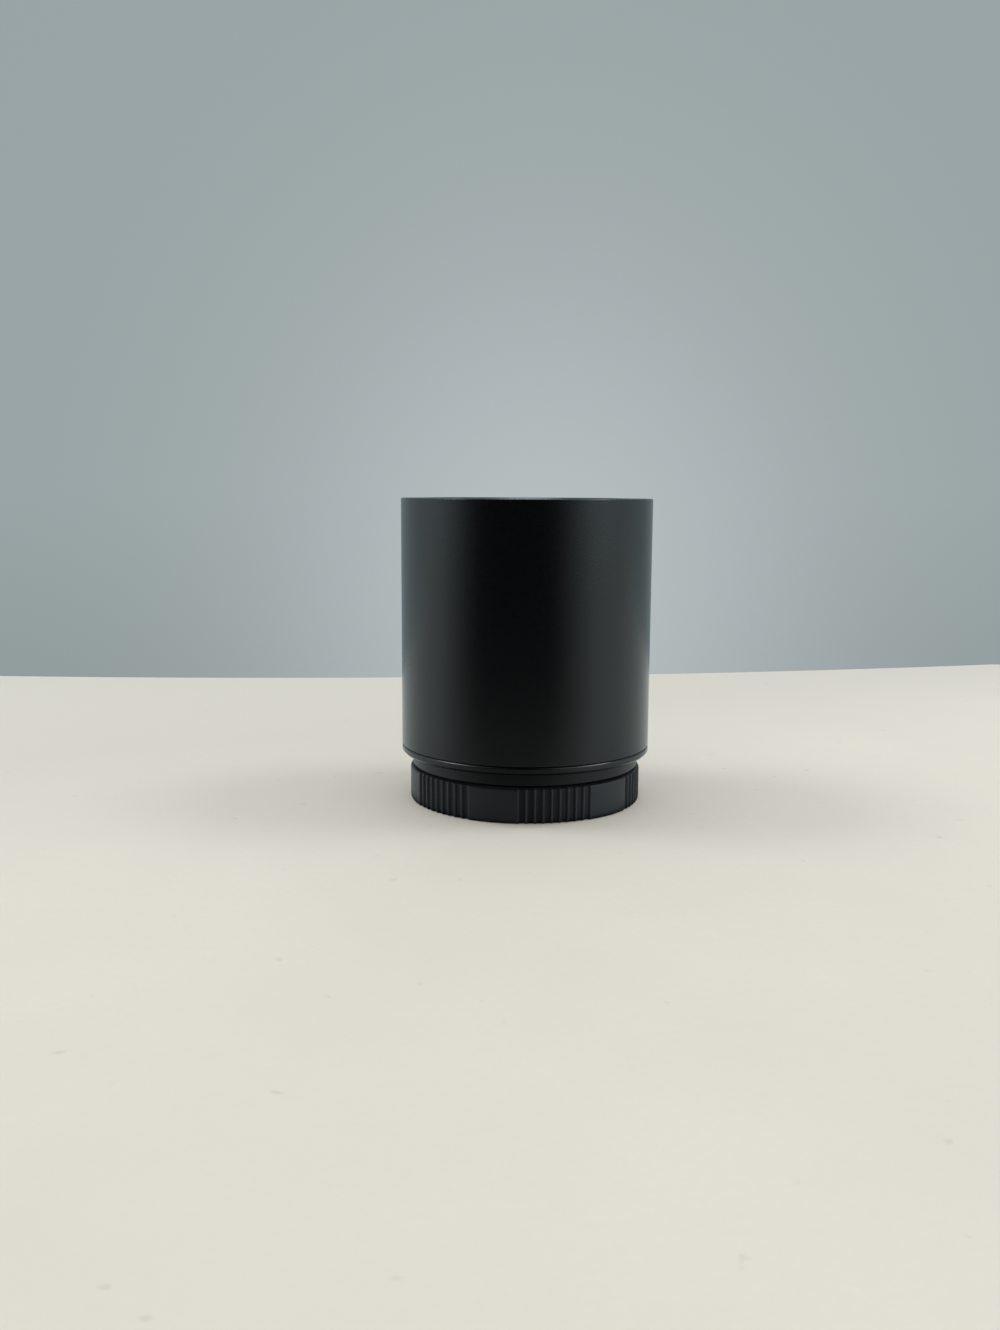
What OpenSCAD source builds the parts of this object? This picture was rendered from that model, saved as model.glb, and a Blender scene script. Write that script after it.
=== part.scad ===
// Two-times teleconverter with a screw mount at both ends, standing on its ribbed rear cap.
// Z is the optical axis and the lens side is up. The origin is the middle of the cap's underside.

/* [Barrel] */
// Outside diameter of the barrel
barrel_d = 50; // [49:0.5:56]
// Length of the barrel from the seam above its flange to the front rim
barrel_len = 49.2; // [48.6:0.1:58]
// Wall of the barrel round the rear chamber
barrel_wall = 3; // [2.6:0.1:3]
// Bevel on the barrel's outer edges
edge_bevel = 0.3; // [0.2:0.05:0.5]

/* [Screw mount] */
// Outside diameter of the mount's thread
thread_d = 42; // [41.5:0.1:42.5]
// Pitch of the mount's thread
thread_pitch = 0.75; // [0.7:0.05:0.8]
// Length of the rear thread, from its shoulder to its end
rear_thread_len = 4.7; // [4:0.1:5]
// Diameter of the neck whose end face is the rear shoulder
neck_d = 45.6; // [45:0.1:47]
// Length of the neck
neck_h = 2.65; // [1.5:0.05:5]
// Thickness of the flange at the foot of the barrel
flange_h = 1.55; // [1:0.05:4]
// Length of the rear mount that screws into the barrel
spigot_len = 5; // [4.5:0.1:6]
// Opening through the rear mount
rear_bore_d = 37.2; // [36:0.1:37.6]

/* [Rear cap] */
// Outside diameter of the cap
cap_d = 46.6; // [46.2:0.1:49]
// Height of the cap
cap_h = 6.7; // [6.6:0.1:9]
// Thickness of the cap's floor
cap_floor = 1.8; // [1.2:0.1:1.9]
// Groups of grip grooves round the cap
rib_groups = 6; // [3:1:6]
// Grooves in one group
grooves_per_group = 9; // [3:1:9]
// Angle from one groove to the next
groove_step = 4; // [4:0.1:5]
// Angle of the first group's middle
rib_phase = -75; // [-90:1:90]
// Depth of a grip groove
groove_depth = 0.4; // [0.2:0.05:0.6]

/* [Optics] */
// Diameter of the two front elements
front_glass_d = 30; // [28:0.5:30.5]
// Diameter of the two rear elements
rear_glass_d = 28; // [27:0.5:28.5]
// Depth of the front element's middle below the front rim
front_depth = 13.3; // [12.8:0.1:14]
// Radius of the front element's hollow front face
face_1 = 45; // [42:1:60]
// Radius of the front element's hollow rear face
face_2 = 28; // [26:0.5:32]
// Radius of the second element's bulged front face
face_3 = 27.2; // [26:0.1:27.8]
// Radius of the second element's hollow rear face
face_4 = 50; // [45:1:60]
// Radius of the third element's bulged front face
face_5 = 150; // [120:5:200]
// Radius of the third element's hollow rear face
face_6 = 44; // [40:1:50]
// Radius of the rear element's bulged front face
face_7 = 46; // [42:1:50]
// Radius of the rear element's bulged rear face
face_8 = 80; // [70:1:100]

/* [Clearances] */
// Gap between the cap's rim and the rear shoulder
cap_gap = 0.3; // [0.2:0.05:0.6]
// Radial clearance of the cap on the rear thread
cap_fit = 0.06; // [0.03:0.01:0.1]
// Radial clearance of a screwed or slid-in piece
slip_fit = 0.05; // [0.02:0.01:0.1]
// Radial clearance of a lens element in its seat
glass_fit = 0.03; // [0.02:0.01:0.06]
// Radial room between pieces that pass without touching
free_gap = 0.4; // [0.3:0.05:0.5]

/* [Hidden] */
$fn = 144;

// Colours
anodised_black = [0.07, 0.07, 0.08];
matt_black = [0.03, 0.03, 0.03];
cap_black = [0.10, 0.10, 0.12];
glass_tint = [0.55, 0.65, 0.75, 0.5];
brass_yellow = [0.72, 0.58, 0.30];
steel_grey = [0.55, 0.56, 0.58];

// Depth that a cutter runs past the face it cuts
cut = 1;

// Thread form: sixty-degree grooves with flat crests between them
groove_mouth = 0.4 / 0.75 * thread_pitch;
groove_root = groove_mouth * cos(30);
crest_r = thread_d / 2;
minor_r = crest_r - 0.5413 * thread_pitch;

// Heights of the outside, from the cap upward
shoulder_z = cap_h + cap_gap;
flange_z = shoulder_z + neck_h;
seam_z = flange_z + flange_h;
rim_z = seam_z + barrel_len;
tail_z = shoulder_z - rear_thread_len;

// Radii of the outside and of the rear chamber
barrel_r = barrel_d / 2;
neck_r = neck_d / 2;
cap_r = cap_d / 2;
chamber_r = barrel_r - barrel_wall;
rear_bore_r = rear_bore_d / 2;
cap_bore_r = crest_r + cap_fit;

// Sag of a spherical face of radius face at height h from the axis
function sag(face, h) = face - sqrt(face * face - h * h);

// Glass thicknesses and air gaps on the axis, from the front
glass_1 = 1.6;
air_12 = 0.3;
glass_2 = 5;
air_23 = 7.1;
glass_3 = 1.6;
air_34 = 1.1;
glass_4 = 4.7;

// Middles of the eight faces on the axis
pole_1 = rim_z - front_depth;
pole_2 = pole_1 - glass_1;
pole_3 = pole_2 - air_12;
pole_4 = pole_3 - glass_2;
pole_5 = pole_4 - air_23;
pole_6 = pole_5 - glass_3;
pole_7 = pole_6 - air_34;
pole_8 = pole_7 - glass_4;

// Hollow faces end in a flat ring of this width at the element's edge
edge_flat = 0.8;
front_glass_r = front_glass_d / 2;
rear_glass_r = rear_glass_d / 2;
front_clear_r = front_glass_r - edge_flat;
rear_clear_r = rear_glass_r - edge_flat;
flat_1 = pole_1 + sag(face_1, front_clear_r);
flat_2 = pole_2 - sag(face_2, front_clear_r);
flat_4 = pole_4 - sag(face_4, front_clear_r);
flat_6 = pole_6 - sag(face_6, rear_clear_r);

// Rings that hold the glass: a ring's inner edge meets a bulged face
ring_h = 1.6;
ring_thread_step = 1;
ring_sink = 0.1;
ring_bevel = 0.4;
ring_overhang = 0.4;
thread_spare = 0.2;
spacer_w = 0.7;
seat_ring_w = 2;
seat_ring_h = 0.3;
rear_ring_w = 1.4;
web_w = 1.6;
spacer_r = front_glass_r - spacer_w;
front_spacer_z = pole_3 - sag(face_3, spacer_r);
rear_spacer_r = rear_glass_r - spacer_w;
rear_spacer_z = pole_7 - sag(face_7, rear_spacer_r);
seat_ring_r = front_glass_r - seat_ring_w;
rear_ring_r = rear_glass_r - rear_ring_w;
rear_ring_z = pole_8 + sag(face_8, rear_ring_r);
web_r = rear_glass_r - web_w;
web_top = flat_4 - seat_ring_h;
web_foot = pole_5 - sag(face_5, web_r);
spanner_w = 1.4;
spanner_depth = 0.8;

// Lens cell: a drum on the barrel's ledge and a nose that reaches back through it
drum_len = 13;
nose_end = 0.2;
cell_top = flat_1 + ring_h + ring_sink;
drum_foot = cell_top - drum_len;
nose_foot = rear_ring_z - ring_h - nose_end;
front_ring_r = front_glass_r + ring_thread_step;
rear_ring_thread_r = rear_glass_r + ring_thread_step;
cell_bore_r = minor_r - free_gap;
drum_r = cell_bore_r - slip_fit;

// Ledge inside the barrel, with the shim between it and the drum
shim_h = 0.2;
shim_gap = 0.2;
ledge_top = drum_foot - shim_h;
ledge_h = 3;
ledge_w = 1.5;
ledge_foot = ledge_top - ledge_h;
ledge_r = cell_bore_r - ledge_w;
nose_r = ledge_r - free_gap;

// Lock ring above the drum, in the lower stretch of the front thread
lock_ring_h = 2.2;
lock_ring_w = 3.4;
lock_ring_bevel = 1.2;
lock_ring_land = 1.4;
lock_ring_r = minor_r - slip_fit - lock_ring_w;
relief_w = 0.8;
relief_depth = 0.6;
lock_thread_foot = cell_top - thread_spare;
lock_thread_top = cell_top + lock_ring_h + thread_spare;
front_thread_foot = lock_thread_top + relief_w;
front_thread_len = rim_z - front_thread_foot;
lead_in = 0.5;

// Rear chamber: a baffle tube behind the cell's nose, standing on a thin washer on the spigot
lining_r = chamber_r - slip_fit;
spigot_top = seam_z + spigot_len;
washer_h = 0.4;
washer_w = 4.95;
washer_r = lining_r - washer_w;
baffle_wall = 3.25;
tube_foot = spigot_top + washer_h;
tube_top = nose_foot - free_gap;
tube_r = lining_r - baffle_wall;

// Light traps: saw-tooth grooves inside the baffle tube
trap_pitch = 1.5;
trap_mouth = 1.1;
trap_depth = 0.9;
trap_margin = 0.7;
trap_count = floor((tube_top - tube_foot - trap_margin) / trap_pitch);

// Baffle ring in the end of the rear mount
tail_ring_seat = 2.2;
tail_ring_h = 1.8;
tail_ring_step = 0.8;
tail_ring_w = 2.9;
tail_ring_bevel = 1.2;
tail_ring_r = rear_bore_r + tail_ring_step;
tail_ring_opening_r = tail_ring_r - tail_ring_w;
undercut_w = 0.8;
undercut_depth = 0.45;

// Grub screw that locks the rear mount in the barrel, at the back
grub_r = 1;
grub_sink = 0.4;
grub_dimple = 0.5;
grub_key = 0.9;
grub_key_depth = 1.2;
grub_z = seam_z + spigot_len / 2;

// Cap details
cap_fillet = 0.6;
cap_top_bevel = 0.25;
foot_recess = 0.4;
foot_ring_w = 2.6;
groove_w = 0.82 * groove_step * PI / 180 * cap_r;
groove_floor_w = 0.72 * groove_w;

// Thread cutters in a half section: grooves one pitch apart from z upward, on a wall of radius r.
// side is 1 where the metal lies outside the wall and -1 where it lies inside.
module thread_grooves(r, z, len, side) {
  for (i = [0 : floor((len - thread_pitch) / thread_pitch)])
    translate([r, z + (i + 0.5) * thread_pitch])
      polygon([
        [-side * groove_root, -groove_mouth],
        [0, -groove_mouth / 2],
        [side * groove_root, 0],
        [0, groove_mouth / 2],
        [-side * groove_root, groove_mouth]
      ]);
}

// Two spanner slots across a ring's top face
module spanner_slots(r, top) {
  translate([-r - cut, -spanner_w / 2, top - spanner_depth])
    cube([2 * r + 2 * cut, spanner_w, spanner_depth + cut]);
}

// Flat ring between two heights
module flat_ring(inner_r, outer_r, foot, top) {
  rotate_extrude()
    translate([inner_r, foot])
      square([outer_r - inner_r, top - foot]);
}

// Half section of a glass blank between two heights
module blank(r, foot, top) {
  translate([0, foot])
    square([r, top - foot]);
}

// Half section of a ball whose surface crosses the axis at pole; up is 1 for a ball above it
module ball(face, pole, up) {
  translate([0, pole + up * face])
    circle(r = face, $fn = 720);
}

module main_barrel() {
  color(anodised_black)
    difference() {
      rotate_extrude()
        difference() {
          polygon([
            [chamber_r, seam_z],
            [barrel_r - edge_bevel, seam_z],
            [barrel_r, seam_z + edge_bevel],
            [barrel_r, rim_z - edge_bevel],
            [barrel_r - edge_bevel, rim_z],
            [minor_r + lead_in, rim_z],
            [minor_r, rim_z - lead_in],
            [minor_r, front_thread_foot],
            [minor_r + relief_depth, front_thread_foot],
            [minor_r + relief_depth, lock_thread_top],
            [minor_r, lock_thread_top],
            [minor_r, lock_thread_foot],
            [cell_bore_r, lock_thread_foot],
            [cell_bore_r, ledge_top],
            [ledge_r, ledge_top],
            [ledge_r, ledge_foot],
            [chamber_r, ledge_foot]
          ]);
          thread_grooves(minor_r, front_thread_foot, front_thread_len - lead_in, 1);
        }
      translate([0, 0, grub_z])
        rotate([-90, 0, 0])
          cylinder(r = grub_r + glass_fit, h = barrel_r + cut);
    }
}

module rear_mount() {
  color(anodised_black)
    difference() {
      rotate_extrude()
        difference() {
          polygon([
            [tail_ring_r, tail_z],
            [crest_r - edge_bevel, tail_z],
            [crest_r, tail_z + edge_bevel],
            [crest_r, shoulder_z - undercut_w],
            [crest_r - undercut_depth, shoulder_z - undercut_w],
            [crest_r - undercut_depth, shoulder_z],
            [neck_r - edge_bevel, shoulder_z],
            [neck_r, shoulder_z + edge_bevel],
            [neck_r, flange_z],
            [barrel_r - edge_bevel, flange_z],
            [barrel_r, flange_z + edge_bevel],
            [barrel_r, seam_z - edge_bevel],
            [barrel_r - edge_bevel, seam_z],
            [lining_r, seam_z],
            [lining_r, spigot_top],
            [rear_bore_r, spigot_top],
            [rear_bore_r, tail_z + tail_ring_seat],
            [tail_ring_r, tail_z + tail_ring_seat]
          ]);
          thread_grooves(crest_r, tail_z + edge_bevel, rear_thread_len - undercut_w - edge_bevel, -1);
        }
      translate([0, lining_r - grub_dimple, grub_z])
        rotate([-90, 0, 0])
          cylinder(r = grub_r + glass_fit, h = grub_dimple + cut);
    }
}

module rear_cap() {
  color(cap_black)
    difference() {
      rotate_extrude()
        difference() {
          union() {
            translate([0, cap_fillet])
              square([cap_r, cap_h - cap_top_bevel - cap_fillet]);
            square([cap_r - cap_fillet, cap_h]);
            translate([cap_r - cap_fillet, cap_fillet])
              circle(r = cap_fillet, $fn = 48);
            polygon([
              [0, cap_h - cap_top_bevel],
              [cap_r, cap_h - cap_top_bevel],
              [cap_r - cap_top_bevel, cap_h],
              [0, cap_h]
            ]);
          }
          translate([-cut, -cut])
            square([cap_r - foot_ring_w + cut, foot_recess + cut]);
          polygon([
            [-cut, cap_floor],
            [cap_bore_r, cap_floor],
            [cap_bore_r, cap_h - lead_in],
            [cap_bore_r + lead_in + cut, cap_h + cut],
            [-cut, cap_h + cut]
          ]);
          thread_grooves(cap_bore_r, cap_floor + thread_pitch, cap_h - cap_floor - lead_in - thread_pitch, 1);
          translate([-cap_r, -cut])
            square([cap_r, cap_h + 2 * cut]);
        }
      for (group = [0 : rib_groups - 1])
        for (i = [0 : grooves_per_group - 1])
          rotate([0, 0, rib_phase + group * 360 / rib_groups + (i - (grooves_per_group - 1) / 2) * groove_step])
            translate([cap_r, 0, -cut])
              linear_extrude(cap_h + 2 * cut)
                polygon([
                  [-groove_depth, -groove_floor_w / 2],
                  [0, -groove_w / 2],
                  [cut, -groove_w / 2],
                  [cut, groove_w / 2],
                  [0, groove_w / 2],
                  [-groove_depth, groove_floor_w / 2]
                ]);
    }
}

module mount_grub_screw() {
  tip = lining_r - grub_dimple;
  head = barrel_r - grub_sink;
  color(steel_grey)
    translate([0, tip, grub_z])
      rotate([-90, 0, 0])
        difference() {
          cylinder(r = grub_r, h = head - tip);
          translate([0, 0, head - tip - grub_key_depth])
            cylinder(d = grub_key / cos(30), h = grub_key_depth + cut, $fn = 6);
        }
}

module baffle_tube() {
  color(matt_black)
    rotate_extrude()
      difference() {
        translate([tube_r, tube_foot])
          square([baffle_wall, tube_top - tube_foot]);
        for (i = [0 : trap_count - 1])
          translate([tube_r, tube_foot + trap_margin + i * trap_pitch])
            polygon([
              [-cut, 0],
              [0, 0],
              [trap_depth, trap_mouth],
              [-cut, trap_mouth]
            ]);
      }
}

module baffle_washer() {
  color(matt_black)
    flat_ring(washer_r, lining_r, spigot_top, tube_foot);
}

module rear_baffle_ring() {
  top = tail_z + tail_ring_seat;
  foot = top - tail_ring_h;
  color(matt_black)
    difference() {
      rotate_extrude()
        polygon([
          [tail_ring_opening_r + tail_ring_bevel, foot],
          [tail_ring_r - slip_fit, foot],
          [tail_ring_r - slip_fit, top],
          [tail_ring_opening_r, top],
          [tail_ring_opening_r, top - ring_bevel]
        ]);
      translate([-cap_r, -spanner_w / 2, foot - cut])
        cube([2 * cap_r, spanner_w, cut + spanner_depth]);
    }
}

module lens_cell() {
  color(anodised_black)
    rotate_extrude()
      polygon([
        [nose_r, nose_foot],
        [nose_r, drum_foot],
        [drum_r, drum_foot],
        [drum_r, cell_top],
        [front_ring_r, cell_top],
        [front_ring_r, flat_1 - thread_spare],
        [front_glass_r + glass_fit, flat_1 - thread_spare],
        [front_glass_r + glass_fit, web_top],
        [web_r, web_top],
        [web_r, web_foot],
        [rear_glass_r + glass_fit, web_foot],
        [rear_glass_r + glass_fit, rear_ring_z + thread_spare],
        [rear_ring_thread_r, rear_ring_z + thread_spare],
        [rear_ring_thread_r, nose_foot]
      ]);
}

module cell_shim() {
  color(brass_yellow)
    flat_ring(ledge_r + shim_gap, cell_bore_r - shim_gap, ledge_top, drum_foot);
}

module cell_lock_ring() {
  top = cell_top + lock_ring_h;
  color(anodised_black)
    difference() {
      rotate_extrude()
        polygon([
          [lock_ring_r, cell_top],
          [minor_r - slip_fit, cell_top],
          [minor_r - slip_fit, top],
          [lock_ring_r + lock_ring_bevel, top],
          [lock_ring_r, cell_top + lock_ring_land]
        ]);
      spanner_slots(minor_r, top);
    }
}

module front_retaining_ring() {
  top = flat_1 + ring_h;
  color(anodised_black)
    difference() {
      rotate_extrude()
        polygon([
          [front_clear_r - ring_overhang, flat_1],
          [front_ring_r - slip_fit, flat_1],
          [front_ring_r - slip_fit, top],
          [front_clear_r + edge_flat, top],
          [front_clear_r - ring_overhang, flat_1 + ring_bevel]
        ]);
      spanner_slots(front_ring_r, top);
    }
}

module front_element() {
  color(glass_tint)
    rotate_extrude()
      difference() {
        blank(front_glass_r, flat_2, flat_1);
        ball(face_1, pole_1, 1);
        ball(face_2, pole_2, -1);
      }
}

module front_spacer() {
  color(matt_black)
    flat_ring(spacer_r, front_glass_r, front_spacer_z, flat_2);
}

module second_element() {
  color(glass_tint)
    rotate_extrude()
      difference() {
        intersection() {
          blank(front_glass_r, flat_4, pole_3);
          ball(face_3, pole_3, -1);
        }
        ball(face_4, pole_4, -1);
      }
}

module seat_ring() {
  color(matt_black)
    flat_ring(seat_ring_r, front_glass_r, web_top, flat_4);
}

module third_element() {
  color(glass_tint)
    rotate_extrude()
      difference() {
        intersection() {
          blank(rear_glass_r, flat_6, pole_5);
          ball(face_5, pole_5, -1);
        }
        ball(face_6, pole_6, -1);
      }
}

module rear_spacer() {
  color(matt_black)
    flat_ring(rear_spacer_r, rear_glass_r, rear_spacer_z, flat_6);
}

module rear_element() {
  color(glass_tint)
    rotate_extrude()
      intersection() {
        blank(rear_glass_r, pole_8, pole_7);
        ball(face_7, pole_7, -1);
        ball(face_8, pole_8, 1);
      }
}

module rear_retaining_ring() {
  foot = rear_ring_z - ring_h;
  color(anodised_black)
    difference() {
      rotate_extrude()
        polygon([
          [rear_ring_r + edge_flat, foot],
          [rear_ring_thread_r - slip_fit, foot],
          [rear_ring_thread_r - slip_fit, rear_ring_z],
          [rear_ring_r, rear_ring_z],
          [rear_ring_r, rear_ring_z - ring_bevel]
        ]);
      translate([-nose_r, -spanner_w / 2, foot - cut])
        cube([2 * nose_r, spanner_w, cut + spanner_depth]);
    }
}

main_barrel();
rear_mount();
rear_cap();
mount_grub_screw();
baffle_tube();
baffle_washer();
rear_baffle_ring();
lens_cell();
cell_shim();
cell_lock_ring();
front_retaining_ring();
front_element();
front_spacer();
second_element();
seat_ring();
third_element();
rear_spacer();
rear_element();
rear_retaining_ring();
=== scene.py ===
import math
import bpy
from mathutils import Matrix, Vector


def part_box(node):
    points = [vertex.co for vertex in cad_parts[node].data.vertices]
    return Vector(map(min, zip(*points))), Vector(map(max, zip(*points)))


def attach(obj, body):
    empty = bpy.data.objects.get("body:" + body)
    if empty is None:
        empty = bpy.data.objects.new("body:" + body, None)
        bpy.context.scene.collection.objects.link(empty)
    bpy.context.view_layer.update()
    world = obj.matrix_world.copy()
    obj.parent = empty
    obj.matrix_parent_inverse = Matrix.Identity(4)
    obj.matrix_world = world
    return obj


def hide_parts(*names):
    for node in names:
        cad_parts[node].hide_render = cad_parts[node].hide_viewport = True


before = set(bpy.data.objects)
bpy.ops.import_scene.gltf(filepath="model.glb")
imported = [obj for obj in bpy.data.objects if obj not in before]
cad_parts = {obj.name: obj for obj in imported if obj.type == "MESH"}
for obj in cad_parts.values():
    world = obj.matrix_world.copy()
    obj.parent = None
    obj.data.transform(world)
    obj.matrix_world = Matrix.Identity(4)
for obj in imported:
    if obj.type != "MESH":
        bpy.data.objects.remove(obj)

from types import SimpleNamespace

import bmesh
import bpy
import numpy as np
from bpy.props import FloatProperty, FloatVectorProperty, IntProperty, PointerProperty
from mathutils import Matrix, Vector

bl_info = {
    "name": "Screw-mount teleconverter",
    "version": (1, 0, 0),
    "blender": (4, 5, 0),
    "location": "3D View > Sidebar > Teleconverter",
    "description": "Builds a teleconverter with threaded ends, its lenses and its ribbed rear cap",
    "category": "Object",
}

MM = 0.001
TURN = 2 * math.pi
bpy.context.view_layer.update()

# Columns of the threaded pieces and of the plain rings inside, and points in an eased corner
COLUMNS, INNER_COLUMNS = 360, 240
ARC_POINTS = 4
# Points closer than this, in metres, are one point
MERGE = 2e-7
# An eased corner's outermost points: share of the ease, room beyond it, and the most of a side's length
SIDE_REACH, SIDE_ROOM, SIDE_MOST = 1.8, 0.02, 0.48
# Rows that a thread takes for each pitch
THREAD_ROWS, CAP_THREAD_ROWS = 10, 8
# Usual ease of a machined corner, in millimetres
CRISP = 0.05
# Radial clearances, in millimetres: a screwed piece, glass in its seat, and pieces that pass freely
SLIP, GLASS_FIT, FREE = 0.05, 0.03, 0.4
# Step from the rear bore out to the baffle ring's seat, and the seat's depth, in millimetres
SEAT_STEP, SEAT_DEPTH = 0.8, 2.2
# Length of the bevel where the cap's thread begins, in millimetres
CAP_LEAD = 0.5
# Level direction away from the dim corner of the room, which is a little to the left of the camera
AWAY = (math.sin(math.radians(8.5)), math.cos(math.radians(8.5)), 0.0)
# Direction of the ceiling's brightest place
CEILING = (0.0, math.sin(math.radians(9.0)), math.cos(math.radians(9.0)))


def node_heights(node):
    """Lowest and highest point of a CAD node, in millimetres."""
    low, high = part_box(node)
    return low.z / MM, high.z / MM


FOOT_Z, RIM_Z = node_heights("main_barrel")
TAIL_Z, SPIGOT_Z = node_heights("rear_mount")
CAP_H = node_heights("rear_cap")[1]
TUBE_FOOT_Z, TUBE_TOP_Z = node_heights("baffle_tube")
WASHER_Z = node_heights("baffle_washer")[0]
CELL_FOOT_Z, CELL_TOP_Z = node_heights("lens_cell")
LOCK_TOP_Z = node_heights("cell_lock_ring")[1]
SHIM_Z, DRUM_FOOT_Z = node_heights("cell_shim")
FRONT_RING_Z, FRONT_RING_TOP_Z = node_heights("front_retaining_ring")
REAR_RING_Z, REAR_RING_TOP_Z = node_heights("rear_retaining_ring")
TAIL_RING_Z, TAIL_RING_TOP_Z = node_heights("rear_baffle_ring")


def length(name, text, millimetres):
    """A length property with its default given in millimetres."""
    return FloatProperty(
        name=name, description=text, default=millimetres * MM, unit="LENGTH", subtype="DISTANCE", precision=5
    )


def colour(name, text, red, green, blue):
    """A colour property with a linear default."""
    return FloatVectorProperty(
        name=name, description=text, default=(red, green, blue), size=3, min=0.0, max=1.0, subtype="COLOR"
    )


def angle(name, text, degrees):
    """An angle property with its default given in degrees."""
    return FloatProperty(
        name=name, description=text, default=math.radians(degrees), unit="ROTATION", subtype="ANGLE"
    )


def share(name, text, value):
    """A plain number from nought to one."""
    return FloatProperty(name=name, description=text, default=value, min=0.0, max=1.0, subtype="FACTOR")


class BarrelSettings(bpy.types.PropertyGroup):
    """Sizes of the barrel and of the screw mount at its foot."""

    diameter: length("Diameter", "Outside diameter of the barrel", 50.0)
    bevel: length("Edge bevel", "Bevel on the edges of the neck and the rear thread", 0.3)
    seam_bevel: length("Seam bevel", "Bevel on both edges of the seam", 0.25)
    rim_bevel: length("Rim bevel", "Bevel on the rim's outer edge", 0.12)
    chamber: length("Chamber", "Diameter of the rear chamber", 44.0)
    front_bore: length("Front bore", "Diameter of the front thread's crests", 41.188)
    front_thread: length("Front thread", "Length of the front thread with its lead-in", 6.1008)
    relief: length("Relief", "Width of the relief groove behind the front thread", 0.8)
    lock_thread: length("Lock thread", "Length of the wall that holds the lock ring", 2.6)
    cell_bore: length("Cell bore", "Diameter of the bore round the lens cell", 40.388)
    ledge: length("Ledge", "Diameter of the ledge that carries the lens cell", 37.388)
    ledge_depth: length("Ledge depth", "Thickness of that ledge", 3.0)
    lead_in: length("Lead-in", "Bevel where a thread begins", 0.5)
    neck: length("Neck", "Diameter of the neck below the flange", 45.6)
    neck_length: length("Neck length", "Height of the neck", 2.65)
    flange: length("Flange", "Thickness of the flange", 1.55)
    flange_bevel: length("Flange bevel", "Bevel under the flange's edge", 0.5)
    rear_thread: length("Rear thread", "Diameter of the rear thread's crests", 42.0)
    rear_bore: length("Rear bore", "Opening through the rear mount", 37.2)
    spigot: length("Spigot", "Diameter of the spigot inside the barrel", 43.9)
    pitch: length("Pitch", "Pitch of the threads", 0.75)
    groove_mouth: length("Groove mouth", "Width of a thread groove at its crest", 0.58)
    groove_depth: length("Groove depth", "Depth of a thread groove", 0.4)
    screw_height: length("Screw height", "Height of the set screw's middle", 13.7)
    screw_hole: length("Screw hole", "Diameter of the set screw's hole", 2.06)


class CapSettings(bpy.types.PropertyGroup):
    """Sizes of the ribbed rear cap."""

    diameter: length("Diameter", "Outside diameter of the cap", 46.6)
    floor: length("Floor", "Thickness of the cap's floor", 1.8)
    bore: length("Bore", "Diameter of the cap's thread crests", 42.12)
    lower_edge: length("Lower edge", "Rounding of the lower edge", 0.6)
    upper_edge: length("Upper edge", "Bevel of the upper edge", 0.25)
    recess: length("Recess", "Depth of the underside's recess", 0.4)
    foot_width: length("Foot width", "Width of the foot round the recess", 2.6)
    groups: IntProperty(name="Groups", description="Groups of grip grooves", default=6, min=1)
    grooves: IntProperty(name="Grooves", description="Grooves in one group", default=9, min=1)
    step: angle("Groove step", "Angle from one groove to the next", 4.0)
    phase: angle("Phase", "Angle of the first group's middle", -75.0)
    mouth: length("Groove mouth", "Width of a grip groove at the rim", 1.334)
    bottom: length("Groove bottom", "Width of a grip groove at its bottom", 0.96)
    depth: length("Groove depth", "Depth of a grip groove", 0.4)
    ridge_ease: length("Ridge rounding", "Rounding of the ridges between the grooves", 0.13)


class LensSettings(bpy.types.PropertyGroup):
    """Sizes of the four lens elements, from the front."""

    front_glass: length("Front glass", "Diameter of the two front elements", 30.0)
    rear_glass: length("Rear glass", "Diameter of the two rear elements", 28.0)
    edge_flat: length("Edge flat", "Width of the flat ring round a hollow face", 0.8)
    faces: FloatVectorProperty(
        name="Faces", description="Radii of the eight polished faces", size=8, unit="LENGTH",
        default=[v * MM for v in (45.0, 28.0, 27.2, 50.0, 150.0, 44.0, 46.0, 80.0)],
    )
    poles: FloatVectorProperty(
        name="Poles", description="Heights of the eight faces on the axis", size=8, unit="LENGTH",
        default=[v * MM for v in (47.1, 45.5, 45.2, 40.2, 33.1, 31.5, 30.4, 25.7)],
    )


class FinishSettings(bpy.types.PropertyGroup):
    """Colours of the finishes."""

    barrel: colour("Barrel", "Blasted and anodised barrel", 0.0018, 0.0022, 0.0027)
    mount: colour("Mount", "Turned and anodised rear mount", 0.0018, 0.0022, 0.0027)
    cell: colour("Cell", "Anodised lens cell and rings", 0.0120, 0.0120, 0.0125)
    matt: colour("Matt black", "Paint inside the light path", 0.0060, 0.0060, 0.0060)
    cap: colour("Cap", "Moulded plastic of the cap", 0.0085, 0.0112, 0.0140)
    # Rubbed metal at the edges, partly a painted highlight
    worn_highlight: colour("Worn edge", "Metal that shows at rubbed edges", 0.11, 0.11, 0.115)
    brass: colour("Brass", "Shim under the lens cell", 0.56, 0.40, 0.15)
    steel: colour("Steel", "Blackened set screw", 0.055, 0.056, 0.060)
    glass: colour("Glass", "Body tint of the lens glass", 0.97, 0.985, 0.98)


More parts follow.
